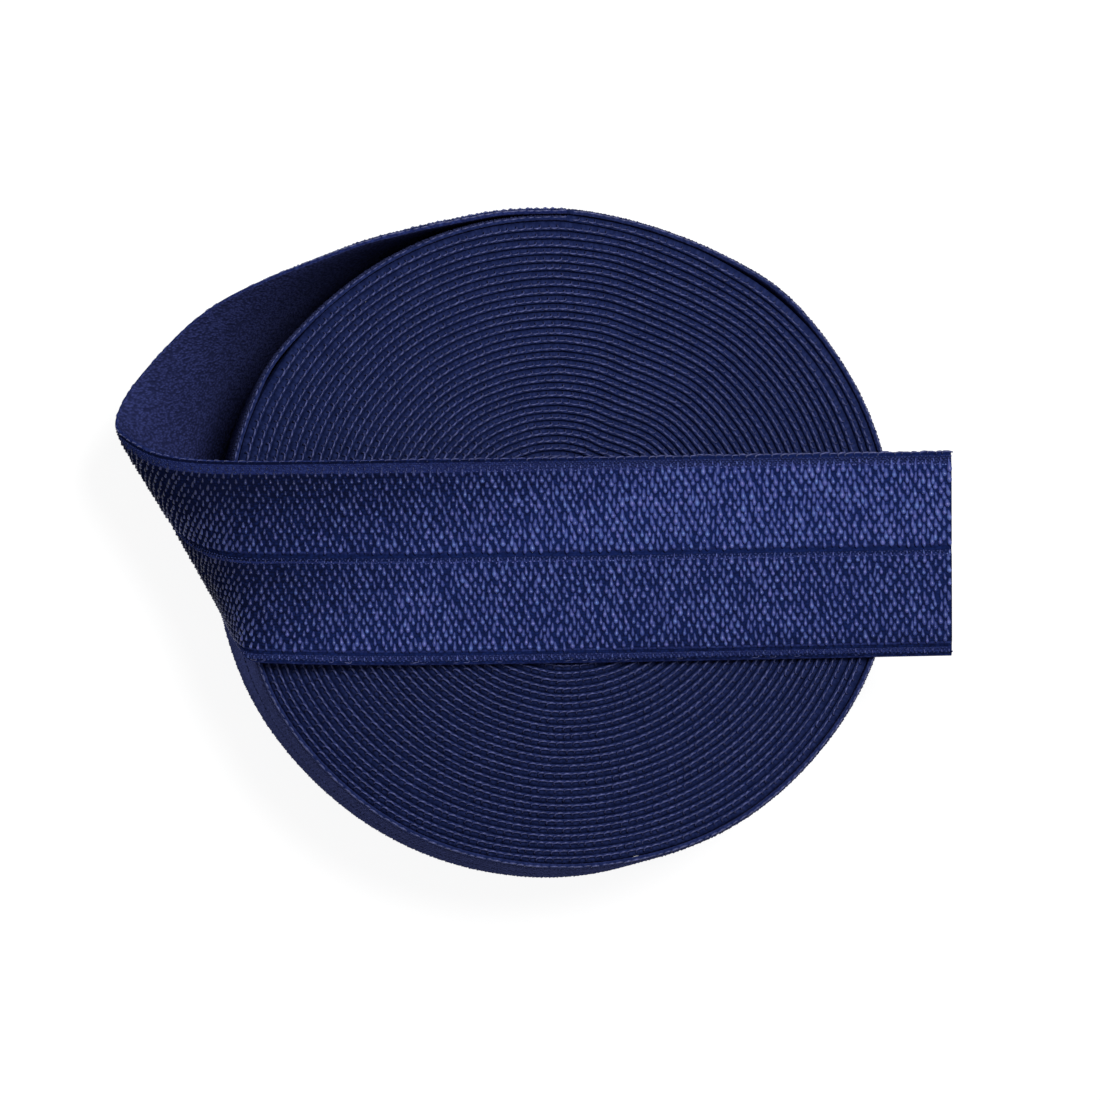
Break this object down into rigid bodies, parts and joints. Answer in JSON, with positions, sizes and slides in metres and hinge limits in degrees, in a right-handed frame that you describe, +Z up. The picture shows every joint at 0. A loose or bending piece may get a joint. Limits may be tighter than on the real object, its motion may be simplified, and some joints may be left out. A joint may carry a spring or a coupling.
{
  "type": "roll of elastic tape",
  "caption": "Narrow navy fold-over elastic tape wound into a flat roll, its loose end looped round at the left and laid across the top.",
  "frame": {"origin": "centre of the roll's underside, on the surface that it lies on", "axes": "+Z up along the roll's axis, +X along the loose end towards its cut end, +Y across the tape towards its upper edge"},
  "size_m": [0.0816, 0.0644, 0.0234],
  "materials": {
    "tape_turns": "navy knitted elastic seen on its edges, matte, with lighter edge stitches",
    "tape_face": "navy knitted elastic, satin yarn floats on the outside and a matte plush inside"
  },
  "bodies": {
    "root": {"wound_roll": "tape_turns", "loose_end": "tape_face"}
  },
  "joints": []
}
